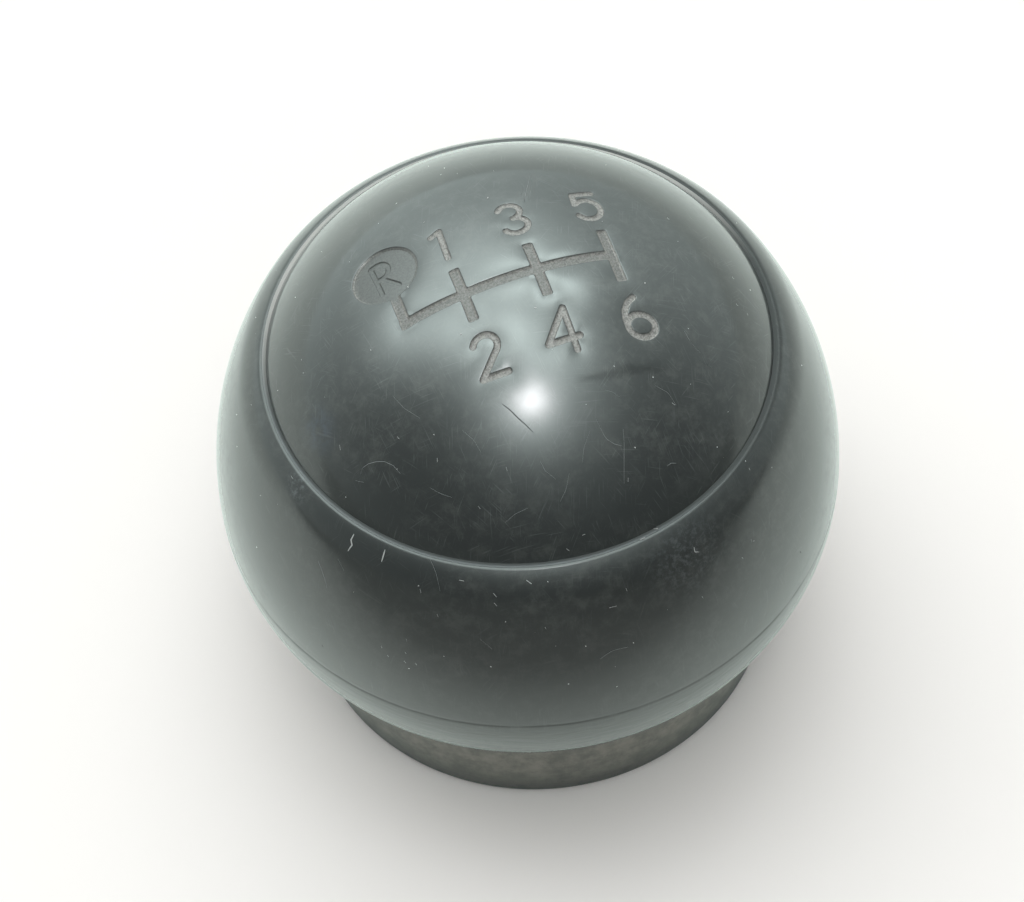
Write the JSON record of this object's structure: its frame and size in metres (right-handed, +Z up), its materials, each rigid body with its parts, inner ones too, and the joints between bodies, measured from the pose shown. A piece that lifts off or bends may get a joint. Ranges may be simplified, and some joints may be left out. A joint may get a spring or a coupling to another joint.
{
  "type": "gear shift knob",
  "caption": "Ball-shaped manual gear shift knob with a domed snap-in cap that carries the gate pattern, and a threaded bush for the lever.",
  "frame": {"origin": "centre of the collar's rim, on the lever's axis, at the plane that the knob stands on", "axes": "+Z up along the lever's axis, +Y towards the front of the car as the gate pattern reads, +X to its right"},
  "size_m": [0.05, 0.05, 0.0482],
  "materials": {
    "body_plastic": "glossy black-grey moulded plastic, worn and finely scratched, duller on the collar",
    "cap_plastic": "glossy black-grey moulded plastic with fine scratches, matt grey floors in the engraved lanes and digits",
    "bush_brass": "turned brass, dulled"
  },
  "bodies": {
    "root": {"knob_body": "body_plastic", "top_cap": "cap_plastic", "threaded_insert": "bush_brass"}
  },
  "joints": []
}
